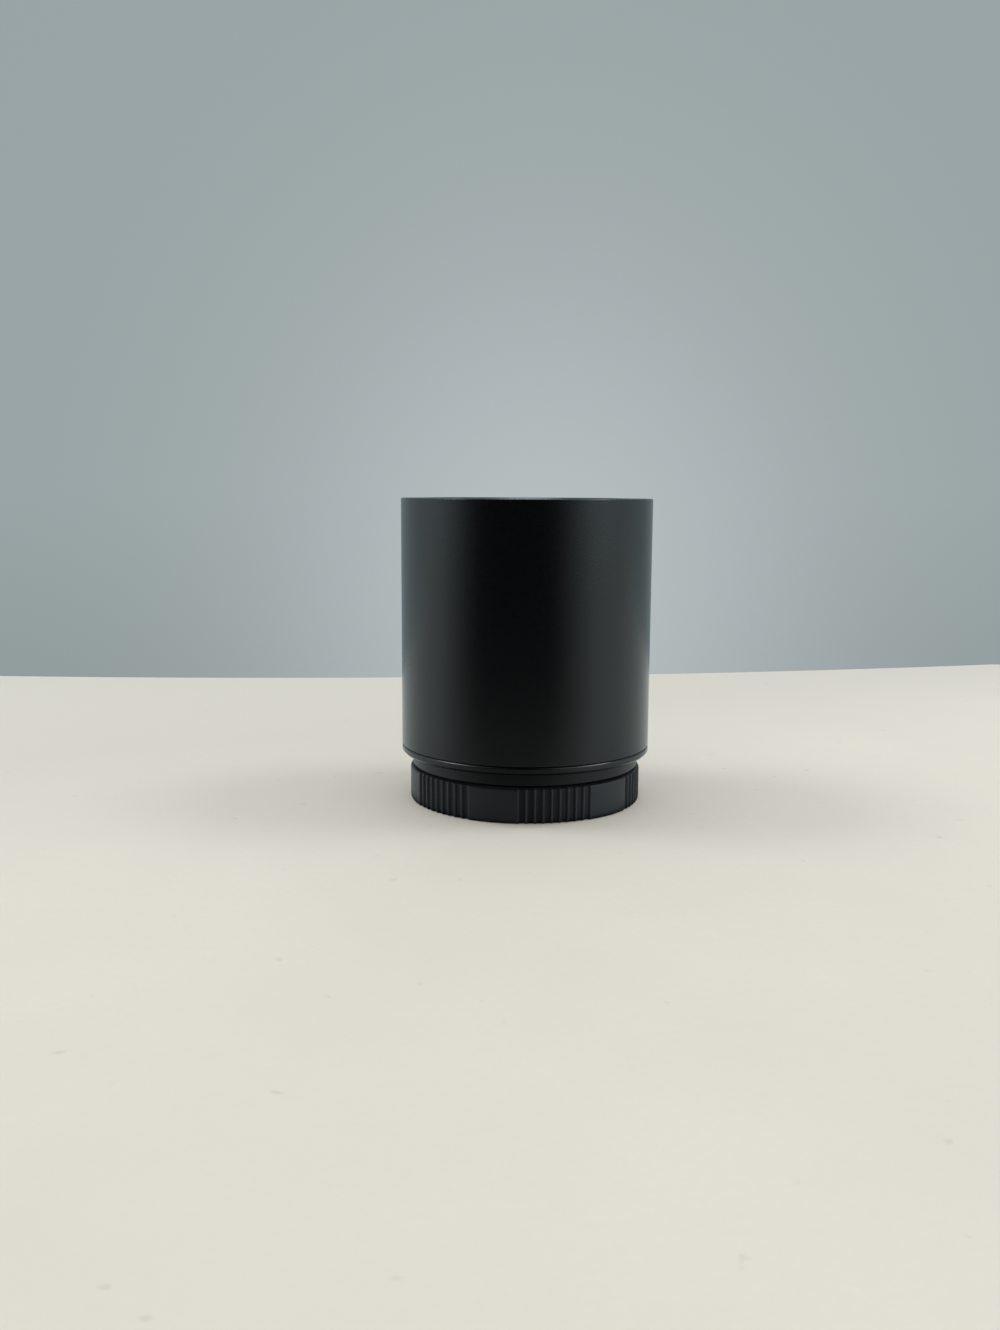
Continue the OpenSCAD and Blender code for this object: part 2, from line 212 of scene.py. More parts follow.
class StageSettings(bpy.types.PropertyGroup):
    """Table, wall, lamps and camera."""

    table: colour("Table", "Painted table top", 0.80, 0.76, 0.675)
    wall: colour("Wall", "Wall away from the object", 0.318, 0.372, 0.380)
    # Painted light: the wall's glow behind the object
    glow: colour("Glow", "Wall behind the object", 0.474, 0.521, 0.533)
    room: share("Room light", "Level of the light from all round", 0.72)
    side_lamp: FloatProperty(
        name="Side lamps", description="Power of each side lamp", default=1.0, min=0.0, unit="POWER"
    )
    lens: FloatProperty(name="Lens", description="Focal length of the camera", default=32.64, unit="CAMERA")
    distance: length("Distance", "Camera's distance from the axis", 242.5)
    height: length("Height", "Camera's height above the table", 61.9)
    pitch: angle("Pitch", "How far the camera looks down", 8.24)
    yaw: angle("Yaw", "How far the camera is turned to the left", 1.22)
    roll: angle("Roll", "How far the camera leans", 0.29)
    table_back: length("Table back", "Distance from the axis to the table's back edge", 162.7)


class TeleconverterSettings(bpy.types.PropertyGroup):
    """All of the teleconverter's settings."""

    barrel: PointerProperty(type=BarrelSettings)
    cap: PointerProperty(type=CapSettings)
    lenses: PointerProperty(type=LensSettings)
    finish: PointerProperty(type=FinishSettings)
    stage: PointerProperty(type=StageSettings)


def in_mm(group):
    """A settings group as a plain namespace, with its lengths in millimetres."""
    values = {}
    for prop in group.bl_rna.properties:
        if prop.identifier in ("rna_type", "name"):
            continue
        value = getattr(group, prop.identifier)
        if getattr(prop, "is_array", False):
            value = np.array(value)
        values[prop.identifier] = value / MM if getattr(prop, "unit", "NONE") == "LENGTH" else value
    return SimpleNamespace(**values)


# Shapes

def eased(corners, steps=ARC_POINTS):
    """Closed outline with eased corners, as an array of corner, point and (radius, height).

    Each corner is (radius, height, ease). It becomes the quadratic curve that has the corner as its
    control point and starts and ends on the two sides, the ease away. One more point on each side,
    a little further out, keeps the shading of the sides straight.
    """
    corners = np.asarray(corners, float)
    tip, ease = corners[:, None, :2], corners[:, None, 2:]
    back = np.roll(tip, 1, 0) - tip
    ahead = np.roll(tip, -1, 0) - tip
    back_length = np.linalg.norm(back, axis=2, keepdims=True)
    ahead_length = np.linalg.norm(ahead, axis=2, keepdims=True)
    back, ahead = back / back_length, ahead / ahead_length
    t = np.linspace(0.0, 1.0, steps)[None, :, None]
    curve = tip + ease * (back * (1 - t) ** 2 + ahead * t**2)
    reach = SIDE_REACH * ease + SIDE_ROOM
    first = tip + back * np.minimum(reach, SIDE_MOST * back_length)
    last = tip + ahead * np.minimum(reach, SIDE_MOST * ahead_length)
    return np.concatenate([first, curve, last], axis=1)


def outline(corners, walls=(), steps=ARC_POINTS):
    """Eased outline with extra rows let in after some corners.

    walls holds pairs of a corner's number and an array of rows. Returns the rows, and for each row the
    number of its corner and the number of its wall, or -1. A corner's outermost points, which lie on its
    sides, have half a number more.
    """
    parts, corner_of, wall_of = [], [], []
    extra = {after: (number, rows) for number, (after, rows) in enumerate(walls)}
    for number, points in enumerate(eased(corners, steps)):
        parts.append(points)
        corner_of += [number + 0.5] + [number] * (len(points) - 2) + [number + 0.5]
        wall_of += [-1] * len(points)
        if number in extra:
            wall, rows = extra[number]
            parts.append(rows)
            corner_of += [-1] * len(rows)
            wall_of += [wall] * len(rows)
    return np.concatenate(parts), np.array(corner_of), np.array(wall_of)


def wall_rows(radius, start, stop, count):
    """Rows of a straight wall of one radius, from one height to another."""
    return np.stack([np.full(count, radius), np.linspace(start, stop, count)], axis=1)


def full_turn(columns=COLUMNS):
    """Evenly spaced angles round the axis."""
    return np.arange(columns) * TURN / columns


def lathe(rows, angles, sunk=0.0):
    """Surface of revolution: row i, column j stands at radius r_i - sunk_ij, height z_i and angle_j."""
    radius = rows[:, :1] - sunk + 0 * angles
    turn = np.broadcast_to(angles, radius.shape)
    return np.stack([radius * np.cos(turn), radius * np.sin(turn), rows[:, 1:] + 0 * radius], axis=-1)


def grid_cells(index):
    """Corner numbers of the cells between neighbouring rows and columns of a grid of point numbers."""
    return np.stack([index[:-1, :-1], index[:-1, 1:], index[1:, 1:], index[1:, :-1]], axis=-1)


def cells(rows, columns, ring=True):
    """Corner numbers of a grid's cells. The columns close on themselves, and so do the rows of a ring."""
    index = np.arange(rows * columns).reshape(rows, columns)
    index = np.vstack([index, index[:1]]) if ring else index
    return grid_cells(np.hstack([index, index[:, :1]]))


def thread(turn, height, pitch, mouth, start, stop):
    """Right-hand thread as a share of its depth.

    The groove's middle climbs one pitch in a turn. The share falls in a straight line from one, on the
    narrow flat at the groove's bottom, to nought half a mouth from its middle. It fades over half a pitch
    at both ends.
    """
    truncation, fade = 0.88, 0.5 * pitch
    phase = (height / pitch - turn / TURN) % 1.0
    groove = np.clip(1.0 - np.abs(phase - 0.5) * 2 * pitch / mouth, 0.0, truncation) / truncation
    return groove * np.clip((height - start) / fade, 0, 1) * np.clip((stop - height) / fade, 0, 1)


def make_mesh(name, crease, points, quads, wear_and_painted_light=None, inked=None):
    """Mesh from points in millimetres and an array of four-cornered cells.

    Points that fall together are merged, which closes poles and seams, and then the faces are turned
    outwards. The mark for rubbing and painted light becomes a point attribute, inked gives the cells that
    take the second material.
    """
    mesh = bpy.data.meshes.new(name)
    quads = quads.reshape(-1, 4)
    mesh.vertices.add(len(points))
    mesh.vertices.foreach_set("co", (points * MM).astype(np.float32).ravel())
    mesh.loops.add(quads.size)
    mesh.loops.foreach_set("vertex_index", quads.astype(np.int32).ravel())
    mesh.polygons.add(len(quads))
    mesh.polygons.foreach_set("loop_start", np.arange(0, quads.size, 4, dtype=np.int32))
    if inked is not None:
        mesh.polygons.foreach_set("material_index", inked.astype(np.int32).ravel())
    mesh.update(calc_edges=True)
    layer = mesh.attributes.new("wear_and_painted_light", "FLOAT", "POINT")
    layer.data.foreach_set("value", (np.zeros(len(points)) if wear_and_painted_light is None else wear_and_painted_light).astype(np.float32))
    shape = bmesh.new()
    shape.from_mesh(mesh)
    bmesh.ops.remove_doubles(shape, verts=shape.verts, dist=MERGE)
    bmesh.ops.dissolve_degenerate(shape, edges=shape.edges, dist=MERGE)
    bmesh.ops.recalc_face_normals(shape, faces=shape.faces)
    shape.to_mesh(mesh)
    shape.free()
    mesh.validate()
    mesh.shade_smooth()
    mesh.set_sharp_from_angle(angle=math.radians(crease))
    return mesh


def add_piece(name, shape, finishes, node, body="converter", crease=38.0):
    """Object at the origin that rides on a CAD body and stands for a CAD node.

    shape holds the points and cells, and then the marks for rubbing and painted light and the inked cells
    where there are any.
    """
    mesh = make_mesh(name, crease, *shape)
    for finish in finishes:
        mesh.materials.append(finish)
    item = bpy.data.objects.new(name, mesh)
    bpy.context.scene.collection.objects.link(item)
    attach(item, body)
    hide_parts(node)


def turned(rows):
    """Points and cells of a plain turned ring inside the barrel."""
    return lathe(rows, full_turn(INNER_COLUMNS)).reshape(-1, 3), cells(len(rows), INNER_COLUMNS)


def slotted(rows, width, level, side, land=90, slot=5):
    """Turned ring with a spanner slot cut right across it along X.

    Each half turn has land columns and then slot columns. The slot's edges stand at the angle
    arcsin(half width / radius), so they run parallel. In the slot a height is held to the level: from
    above where side is 1, and from below where it is -1.
    """
    radius = rows[:, :1]
    half = np.arcsin(0.5 * width / radius)
    t_land, t_slot = np.linspace(0, 1, land), np.linspace(0, 1, slot)
    on_land = half + (math.pi - 2 * half) * t_land
    in_slot = math.pi - half + 2 * half * t_slot
    turn = np.concatenate([on_land, in_slot, on_land + math.pi, in_slot + math.pi], axis=1)
    cut = np.tile(np.repeat([False, True], [land, slot]), 2)
    limit = np.minimum if side > 0 else np.maximum
    height = np.where(cut, limit(rows[:, 1:], level), rows[:, 1:])
    points = np.stack([radius * np.cos(turn), radius * np.sin(turn), height], axis=-1)
    return points.reshape(-1, 3), cells(*turn.shape)


def block_border(index, rows, columns):
    """Point numbers round a block of a grid, once round from its first corner."""
    return np.concatenate([
        index[rows[0], columns[:-1]],
        index[rows[:-1], columns[-1]],
        index[rows[-1], columns[:0:-1]],
        index[rows[:0:-1], columns[0]],
    ])


def drilled(points, quads, outer, inner, columns, height, hole):
    """Round radial hole along +Y through two walls of a turned piece.

    The cells of one block of each wall are taken out. Loops of points then lead from the outer block's
    border to a circle, through the metal and out to the inner block's border. A loop's point keeps the
    direction that its border point has from the hole's middle, and its Y follows from the wall's radius.
    """
    count = points.shape[0] * points.shape[1]
    index = np.arange(count).reshape(points.shape[:2])
    keep = np.ones(quads.shape[:2], bool)
    keep[np.ix_(outer[:-1], columns[:-1])] = False
    keep[np.ix_(inner[:-1], columns[:-1])] = False
    near, far = block_border(index, outer, columns), block_border(index, inner[::-1], columns)
    flat = points.reshape(-1, 3)
    middle = np.array([0.0, height])

    def loop(border, ring, blend, depth):
        """Points between a border and a circle, on the border's wall or a depth below it."""
        spot = flat[border][:, [0, 2]] - middle
        circle = ring * spot / np.linalg.norm(spot, axis=1, keepdims=True)
        place = (1 - blend) * spot + blend * circle
        wall = np.linalg.norm(flat[border[0]][:2])
        y = np.sqrt(wall**2 - place[:, 0] ** 2) - depth
        return np.stack([place[:, 0], y, place[:, 1] + height], axis=1)

    bevel, middle_of_bevel, edge = 0.12, 0.035, 0.05
    rim = hole + bevel
    loops = [loop(*step) for step in (
        (near, rim, 0.4, 0.0), (near, rim, 0.75, 0.0), (near, rim + edge, 1.0, 0.0), (near, rim, 1.0, 0.0),
        (near, hole + middle_of_bevel, 1.0, middle_of_bevel), (near, hole, 1.0, bevel),
        (near, hole, 1.0, 0.2), (far, hole, 1.0, -edge), (far, hole, 1.0, 0.0), (far, hole, 0.5, 0.0),
    )]
    ring = len(near)
    numbers = np.vstack([near, count + np.arange(len(loops) * ring).reshape(-1, ring), far])
    throat = grid_cells(np.hstack([numbers, numbers[:, :1]]))
    return np.concatenate([flat, *loops]), np.concatenate([quads[keep], throat.reshape(-1, 4)])


def barrel_shape(s):
    """Barrel: a tube with bevelled ends, a right-hand thread inside its front and the set screw's hole."""
    relief_depth, thread_margin = 0.6, 0.15
    # The hole is drilled through a block of the wall of so many rows and columns, and this half height
    block, half_block = 9, 1.75
    r, bore, chamber = s.diameter / 2, s.front_bore / 2, s.chamber / 2
    cell, ledge = s.cell_bore / 2, s.ledge / 2
    thread_foot = RIM_Z - s.front_thread
    lock_top = thread_foot - s.relief
    lock_foot = lock_top - s.lock_thread
    relief_r = bore + relief_depth
    ledge_foot = SHIM_Z - s.ledge_depth
    b, rim = s.seam_bevel, s.rim_bevel
    low, high = s.screw_height - half_block, s.screw_height + half_block
    corners = [
        (chamber, FOOT_Z, CRISP), (r - b, FOOT_Z, 0.07), (r, FOOT_Z + b, 0.09),
        (r, RIM_Z - rim, CRISP), (r - rim, RIM_Z, 0.04),
        (bore + s.lead_in, RIM_Z, 0.1), (bore, RIM_Z - s.lead_in, 0.08),
        (bore, thread_foot, CRISP), (relief_r, thread_foot, CRISP),
        (relief_r, lock_top, CRISP), (bore, lock_top, CRISP),
        (bore, lock_foot, CRISP), (cell, lock_foot, CRISP),
        (cell, SHIM_Z, CRISP), (ledge, SHIM_Z, CRISP),
        (ledge, ledge_foot, CRISP), (chamber, ledge_foot, CRISP),
    ]
    thread_start, thread_stop = thread_foot + thread_margin, RIM_Z - s.lead_in - thread_margin
    thread_count = int((thread_stop - thread_start) / s.pitch * THREAD_ROWS)
    walls = [
        (2, wall_rows(r, low, high, block)),
        (6, wall_rows(bore, thread_stop, thread_start, thread_count)),
        (16, wall_rows(chamber, high, low, block)),
    ]
    rows, corner, wall = outline(corners, walls)
    turn = full_turn()
    sunk = -s.groove_depth * thread(turn, rows[:, 1:], s.pitch, s.groove_mouth, thread_start, thread_stop)
    points = lathe(rows, turn, np.where(wall[:, None] == 1, sunk, 0.0))
    # Corners 1 to 5 are the seam's edge, the rim and the start of the lead-in: rubbed edges that also carry a
    # painted highlight
    rubbed = np.isin(corner, (1, 2, 3, 4, 5)).astype(float)
    columns = COLUMNS // 4 + np.arange(block) - block // 2
    outer, inner = np.flatnonzero(wall == 0), np.flatnonzero(wall == 2)
    quads = cells(len(rows), COLUMNS)
    flat, quads = drilled(points, quads, outer, inner, columns, s.screw_height, s.screw_hole / 2)
    wear_and_painted_light = np.zeros(len(flat))
    wear_and_painted_light[: rubbed.size * COLUMNS] = np.repeat(rubbed, COLUMNS)
    return flat, quads, wear_and_painted_light


def mount_shape(s):
    """Rear mount: spigot, flange, neck and a right-hand outside thread, with a seat for the baffle ring."""
    undercut_width, undercut_depth = 0.8, 0.45
    thread_margin, run_out = 0.12, 0.2
    r, neck, crest = s.diameter / 2, s.neck / 2, s.rear_thread / 2
    spigot, bore = s.spigot / 2, s.rear_bore / 2
    flange_z = FOOT_Z - s.flange
    shoulder_z = flange_z - s.neck_length
    undercut_z, undercut_r = shoulder_z - undercut_width, crest - undercut_depth
    seat_r, seat_z = bore + SEAT_STEP, TAIL_Z + SEAT_DEPTH
    b, under, seam = s.bevel, s.flange_bevel, s.seam_bevel
    corners = [
        (seat_r, TAIL_Z, 0.08), (crest - b, TAIL_Z, 0.06), (crest, TAIL_Z + b, 0.06),
        (crest, undercut_z, CRISP), (undercut_r, undercut_z, CRISP), (undercut_r, shoulder_z, CRISP),
        (neck - b, shoulder_z, 0.08), (neck, shoulder_z + b, 0.1),
        (neck, flange_z, 0.12), (r - under, flange_z, CRISP), (r, flange_z + under, 0.06),
        (r, FOOT_Z - seam, 0.09), (r - seam, FOOT_Z, 0.07),
        (spigot, FOOT_Z, CRISP), (spigot, SPIGOT_Z, 0.1), (bore, SPIGOT_Z, 0.1),
        (bore, seat_z, CRISP), (seat_r, seat_z, CRISP),
    ]
    start, stop = TAIL_Z + b + thread_margin, undercut_z - thread_margin
    walls = [(2, wall_rows(crest, start, stop, int((stop - start) / s.pitch * THREAD_ROWS)))]
    rows, corner, wall = outline(corners, walls)
    turn = full_turn()
    groove = thread(turn, rows[:, 1:], s.pitch, s.groove_mouth, TAIL_Z, undercut_z + run_out)
    points = lathe(rows, turn, np.where(wall[:, None] == 0, s.groove_depth * groove, 0.0))
    # Rubbed, and given a painted highlight, are the edges of the thread's end, the neck and the seam. The
    # neck's wall is duller.
    rubbed = np.isin(corner, (1, 2, 6, 7, 11, 12)).astype(float)
    matt = np.isin(corner // 1, (6, 7, 8))
    inked = np.repeat(matt & np.roll(matt, -1), COLUMNS)
    return points.reshape(-1, 3), cells(len(rows), COLUMNS), np.repeat(rubbed, COLUMNS), inked


def grip_columns(s):
    """Angles round the cap and the depth of its grip at each of them.

    One groove is a trapezium with eased corners, unrolled along the rim. It is repeated a step apart in
    each group, and the smooth panels between the groups get a few columns of their own. The tone of a
    column runs from 1 on a ridge to -1 on a groove's bottom, and is nought on a panel.
    """
    bottom_ease, strip_width, panel_columns = 0.12, 0.2, 12
    mouth, bottom, rim = s.mouth / 2, s.bottom / 2, s.diameter / 2
    spare = 4 * mouth
    corners = [
        (-spare, 0, 0), (-mouth, 0, s.ridge_ease), (-bottom, s.depth, bottom_ease),
        (bottom, s.depth, bottom_ease), (mouth, 0, s.ridge_ease), (spare, 0, 0),
    ]
    groove = eased(corners, 3)[1:-1, 1:-1].reshape(-1, 2)
    number = np.arange(s.grooves) - (s.grooves - 1) / 2
    group_angles = (number[:, None] * s.step + groove[:, 0] / rim).ravel()
    group_depths = np.tile(groove[:, 1], s.grooves)
    strip = strip_width / rim
    first, last = group_angles[-1] + strip, TURN / s.groups + group_angles[0] - strip
    gap = np.concatenate([[first], np.linspace(first + strip, last - strip, panel_columns), [last]])
    one_angles = np.concatenate([group_angles, gap])
    one_depths = np.concatenate([group_depths, np.zeros(len(gap))])
    # Tone for the finish: painted shade at the grooves' bottoms, and ridges that are partly rubbed and partly
    # a painted highlight
    one_tones = np.concatenate([1 - 2 * group_depths / s.depth, np.zeros(len(gap))])
    starts = s.phase + np.arange(s.groups) * TURN / s.groups
    return (starts[:, None] + one_angles).ravel(), np.tile(one_depths, s.groups), np.tile(one_tones, s.groups)


def cap_shape(s, pitch, mouth, depth):
    """Rear cap: a cup with a right-hand thread inside and grip grooves that sink its outer wall."""
    r, bore, foot = s.diameter / 2, s.bore / 2, s.diameter / 2 - s.foot_width
    lead, top = CAP_LEAD, s.upper_edge
    # The middle of the floor is a pinhole, this far from the axis and with this ease
    centre, centre_ease = 0.02, 0.004
    thread_margin, inward = 0.12, 0.3
    corners = [
        (centre, s.recess, centre_ease), (foot, s.recess, 0.12), (foot, 0.0, 0.12),
        (r, 0.0, s.lower_edge), (r, CAP_H - top, 0.1), (r - top, CAP_H, 0.1),
        (bore + lead, CAP_H, 0.12), (bore, CAP_H - lead, 0.08),
        (bore, s.floor, 0.2), (centre, s.floor, centre_ease),
    ]
    start, stop = s.floor + pitch, CAP_H - lead - thread_margin
    walls = [(7, wall_rows(bore, stop, start, int((stop - start) / pitch * CAP_THREAD_ROWS)))]
    rows, corner, wall = outline(corners, walls, 5)
    turn, grip, tone = grip_columns(s)
    sunk = -depth * thread(turn, rows[:, 1:], pitch, mouth, start, stop)
    # The grip sinks corners 3 to 5, which are the lower edge, the wall and the upper edge
    reach = max(r - s.lower_edge - inward, bore + lead + inward)
    outer = np.isin(corner // 1, (3, 4, 5)) & (rows[:, 0] > reach)
    sunk = np.where(wall[:, None] == 0, sunk, outer[:, None] * grip)
    points = lathe(rows, turn, sunk)
    return points.reshape(-1, 3), cells(len(rows), len(turn)), (outer[:, None] * tone).ravel()


def lens_shape(radius, top, bottom, points_across=36, columns=160):
    """Lens element: two spherical faces of revolution joined by its edge.

    Each face is (pole height, radius, bend, reach): at a distance h from the axis it stands at
    pole + bend * (R - sqrt(R^2 - h^2)) out to its reach, and runs on flat from there to the edge.
    """
    def face(pole, ball, bend, reach):
        """Rows of one face, from the axis to the edge."""
        h = np.linspace(0.0, reach, points_across)
        rows = np.stack([h, pole + bend * (ball - np.sqrt(ball**2 - h**2))], axis=1)
        return np.vstack([rows, [radius, rows[-1, 1]]]) if reach < radius else rows

    upper, lower = face(*top), face(*bottom)
    rows = np.vstack([upper, lower[::-1]])
    quads = cells(len(rows), columns, ring=False)
    inked = np.zeros(quads.shape[:2])
    inked[points_across - 1 : len(rows) - points_across] = 1
    return lathe(rows, full_turn(columns)).reshape(-1, 3), quads, None, inked


def set_screw_shape(s):
    """Set screw along +Y: a turned pin with a hexagon socket, at apothem / cos(angle from a flat)."""
    tip, head, r = 21.45, 24.6, 1.0
    apothem, floor, columns = 0.45, head - 1.2, 72
    point, edge, ease = 0.3, 0.12, 0.06
    pin = [
        (0, tip), (r - point, tip), (r, tip + point), (r, tip + 0.4), (r, head - 0.25), (r, head - edge),
        (r - 0.04, head - 0.03), (r - edge, head), (r - 0.2, head), (0.7, head),
    ]
    socket = [
        (apothem + ease, head), (apothem, head - ease), (apothem, head - 0.2), (apothem, floor),
        (0.2, floor - 0.12), (0, floor - 0.15),
    ]
    rows = np.array(pin + socket)
    turn = full_turn(columns)
    flat = (turn + math.pi / 6) % (math.pi / 3) - math.pi / 6
    socket = np.arange(len(rows)) >= len(pin)
    radius = rows[:, :1] * np.where(socket[:, None], 1 / np.cos(flat), 1.0)
    x, z = radius * np.cos(turn), radius * np.sin(turn) + s.screw_height
    points = np.stack([x, rows[:, 1:] + 0 * x, z], axis=-1)
    return points.reshape(-1, 3), cells(*x.shape, ring=False)


# Finishes

class Graph:
    """Node tree that is put together by short calls."""

    def __init__(self, tree):
        self.tree = tree

    def node(self, kind, **settings):
        """New node with its settings."""
        made = self.tree.nodes.new(kind)
        for key, value in settings.items():
            setattr(made, key, value)
        return made

    def join(self, source, target):
        """Link from an output to an input."""
        self.tree.links.new(source, target)

    def feed(self, made, values):
        """Link outputs, or set numbers and vectors, on a node's first inputs."""
        for socket, value in zip(made.inputs, values):
            if isinstance(value, bpy.types.NodeSocket):
                self.join(value, socket)
            else:
                socket.default_value = value

    def sum(self, first, second=0.0, operation="ADD"):
        """Two outputs, or an output and a number, joined by a sum or another operation."""
        made = self.node("ShaderNodeMath", operation=operation)
        self.feed(made, (first, second))
        return made.outputs["Value"]

    def vector(self, operation, first, second, output="Vector"):
        """Two vectors joined by an operation."""
        made = self.node("ShaderNodeVectorMath", operation=operation)
        self.feed(made, (first, second))
        return made.outputs[output]

    def axes(self, source):
        """The X, Y and Z of a vector."""
        made = self.node("ShaderNodeSeparateXYZ")
        self.join(source, made.inputs["Vector"])
        return made.outputs

    def span(self, source, low, high, start=0.3, stop=0.7):
        """An output between two levels, spread over a new range and held there."""
        made = self.node("ShaderNodeMapRange")
        self.feed(made, (source, start, stop, low, high))
        return made.outputs["Result"]

    def blend(self, amount, first, second):
        """Mix of two colours, each given as a colour or as an output."""
        made = self.node("ShaderNodeMix", data_type="RGBA")
        self.join(amount, made.inputs["Factor"])
        for socket, value in ((made.inputs[6], first), (made.inputs[7], second)):
            if isinstance(value, bpy.types.NodeSocket):
                self.join(value, socket)
            else:
                socket.default_value = (*value, 1.0)
        return made.outputs[2]


class Finish(Graph):
    """Procedural material: a Principled shader whose colour, roughness and relief come from noise nodes."""

    def __init__(self, name, **sockets):
        self.material = bpy.data.materials.new(name)
        self.material.use_nodes = True
        super().__init__(self.material.node_tree)
        self.shader = self.tree.nodes["Principled BSDF"]
        for socket, value in sockets.items():
            self.shader.inputs[socket.replace("_", " ")].default_value = value
        self.place = self.node("ShaderNodeTexCoord").outputs["Object"]

    def noise(self, scale, detail=2.0, roughness=0.5, stretch=None):
        """Noise on Object coordinates, of so many grains to the metre."""
        made = self.node("ShaderNodeTexNoise")
        made.inputs["Scale"].default_value = scale
        made.inputs["Detail"].default_value = detail
        made.inputs["Roughness"].default_value = roughness
        source = self.place if stretch is None else self.vector("MULTIPLY", self.place, stretch)
        self.join(source, made.inputs["Vector"])
        return made.outputs["Fac"]

    def lines(self, scale):
        """Turning lines: noise along radius plus height, so that they ring walls and faces alike."""
        flat = self.vector("MULTIPLY", self.place, (1.0, 1.0, 0.0))
        radius = self.vector("LENGTH", flat, (0.0, 0.0, 0.0), "Value")
        made = self.node("ShaderNodeTexNoise", noise_dimensions="1D")
        made.inputs["Scale"].default_value = scale
        made.inputs["Detail"].default_value = 3.0
        self.join(self.sum(radius, self.axes(self.place)["Z"]), made.inputs["W"])
        return made.outputs["Fac"]

    def attribute(self, name):
        """A point attribute of the piece's own mesh."""
        return self.node("ShaderNodeAttribute", attribute_name=name).outputs["Fac"]

    def relief(self, height, strength, depth):
        """Bump of a height in metres on the shader's normal."""
        made = self.node("ShaderNodeBump")
        made.inputs["Strength"].default_value = strength
        made.inputs["Distance"].default_value = depth
        self.join(height, made.inputs["Height"])
        self.set("Normal", made.outputs["Normal"])

    def set(self, socket, source):
        """Link to one of the shader's sockets."""
        self.join(source, self.shader.inputs[socket])


def scaled(tint, factor):
    """A colour made lighter or darker."""
    return tuple(min(1.0, value * factor) for value in tint)


def rubbed_and_highlit_edges(f, base, worn_highlight, most):
    """Colour with rubbed metal in patches along the edges, which is partly a painted highlight, and how much
    smoother rubbing made them.
    """
    wear_and_painted_light = f.attribute("wear_and_painted_light")
    patches = f.span(f.noise(900.0, 4.0, 0.65), 0.0, most, 0.48, 0.76)
    return f.blend(f.sum(wear_and_painted_light, patches, "MULTIPLY"), base, worn_highlight), f.span(wear_and_painted_light, 0.0, -0.12, 0.0, 1.0)


def blasted_finish(name, tint, worn_highlight):
    """Satin anodising over a blasted surface: two sizes of grain, faint clouds and rubbed edges that carry a
    painted highlight.
    """
    f = Finish(name, Metallic=0.0, IOR=1.5)
    fine, coarse, cloud = f.noise(9000.0, 2.0), f.noise(4400.0, 1.0, 0.5), f.noise(60.0, 3.0, 0.5)
    grain = f.sum(f.sum(fine, 0.45, "MULTIPLY"), f.sum(coarse, 0.55, "MULTIPLY"))
    base = f.blend(f.span(grain, 0.0, 1.0, 0.38, 0.66), scaled(tint, 0.6), scaled(tint, 1.8))
    base = f.blend(f.span(cloud, 0.0, 0.3), base, scaled(tint, 0.8))
    base, smooth = rubbed_and_highlit_edges(f, base, worn_highlight, 0.12)
    f.set("Base Color", base)
    rough = f.sum(f.span(grain, 0.17, 0.25, 0.38, 0.66), f.span(cloud, -0.01, 0.015))
    f.set("Roughness", f.sum(rough, smooth))
    f.relief(f.sum(coarse, f.sum(fine, 0.06, "MULTIPLY")), 0.22, 0.0001)
    return f.material


def turned_finish(name, tint, worn_highlight, low=0.2, high=0.28, line=0.06, shine=0.5):
    """Anodising over a lathe finish: fine rings, a little grain and rubbed edges that carry a painted
    highlight.
    """
    f = Finish(name, Metallic=0.0, IOR=1.5, Specular_IOR_Level=shine)
    rings, grain, cloud = f.lines(14000.0), f.noise(7000.0, 2.0), f.noise(90.0, 4.0, 0.6)
    mixed = f.sum(f.sum(rings, 0.7, "MULTIPLY"), f.sum(grain, 0.3, "MULTIPLY"))
    base = f.blend(f.span(mixed, 0.0, 1.0, 0.35, 0.68), scaled(tint, 0.75), scaled(tint, 1.4))
    base, smooth = rubbed_and_highlit_edges(f, base, worn_highlight, 0.06)
    f.set("Base Color", base)
    rough = f.sum(f.span(mixed, low, high, 0.35, 0.68), f.span(cloud, -0.03, 0.03))
    f.set("Roughness", f.sum(rough, smooth))
    f.relief(mixed, line, 0.00003)
    return f.material


def moulded_finish(name, tint):
    """Moulded plastic: eroded grain, soft flow marks, a faint sheen, pale ridges that are partly rubbed and
    partly a painted highlight, and painted shade in the grooves.
    """
    f = Finish(name, Metallic=0.0, IOR=1.5, Specular_IOR_Level=0.48, Sheen_Weight=0.06, Sheen_Roughness=0.3)
    fine, flow = f.noise(6000.0, 2.0, 0.55), f.noise(120.0, 4.0, 0.6, (1.0, 1.0, 0.3))
    dust, tone = f.noise(1500.0, 5.0, 0.7), f.attribute("wear_and_painted_light")
    base = f.blend(f.span(fine, 0.0, 1.0, 0.35, 0.65), scaled(tint, 0.85), scaled(tint, 1.2))
    base = f.blend(f.span(flow, 0.0, 0.5), base, scaled(tint, 1.3))
    # Painted shade in the bottoms of the grooves
    base = f.blend(f.span(tone, 0.0, 0.85, 0.0, -0.8), base, scaled(tint, 0.2))
    # Pale ridges: partly rubbed plastic, partly a painted highlight
    base = f.blend(f.span(tone, 0.0, 0.8, 0.1, 1.0), base, scaled(tint, 2.6))
    base = f.blend(f.span(dust, 0.0, 0.10, 0.62, 0.74), base, (0.10, 0.10, 0.10))
    f.set("Base Color", base)
    polish = f.span(tone, 0.14, -0.10, -1.0, 1.0)
    f.set("Roughness", f.sum(f.sum(f.span(fine, 0.34, 0.44), f.span(flow, -0.03, 0.03)), polish))
    f.relief(fine, 0.18, 0.00004)
    return f.material


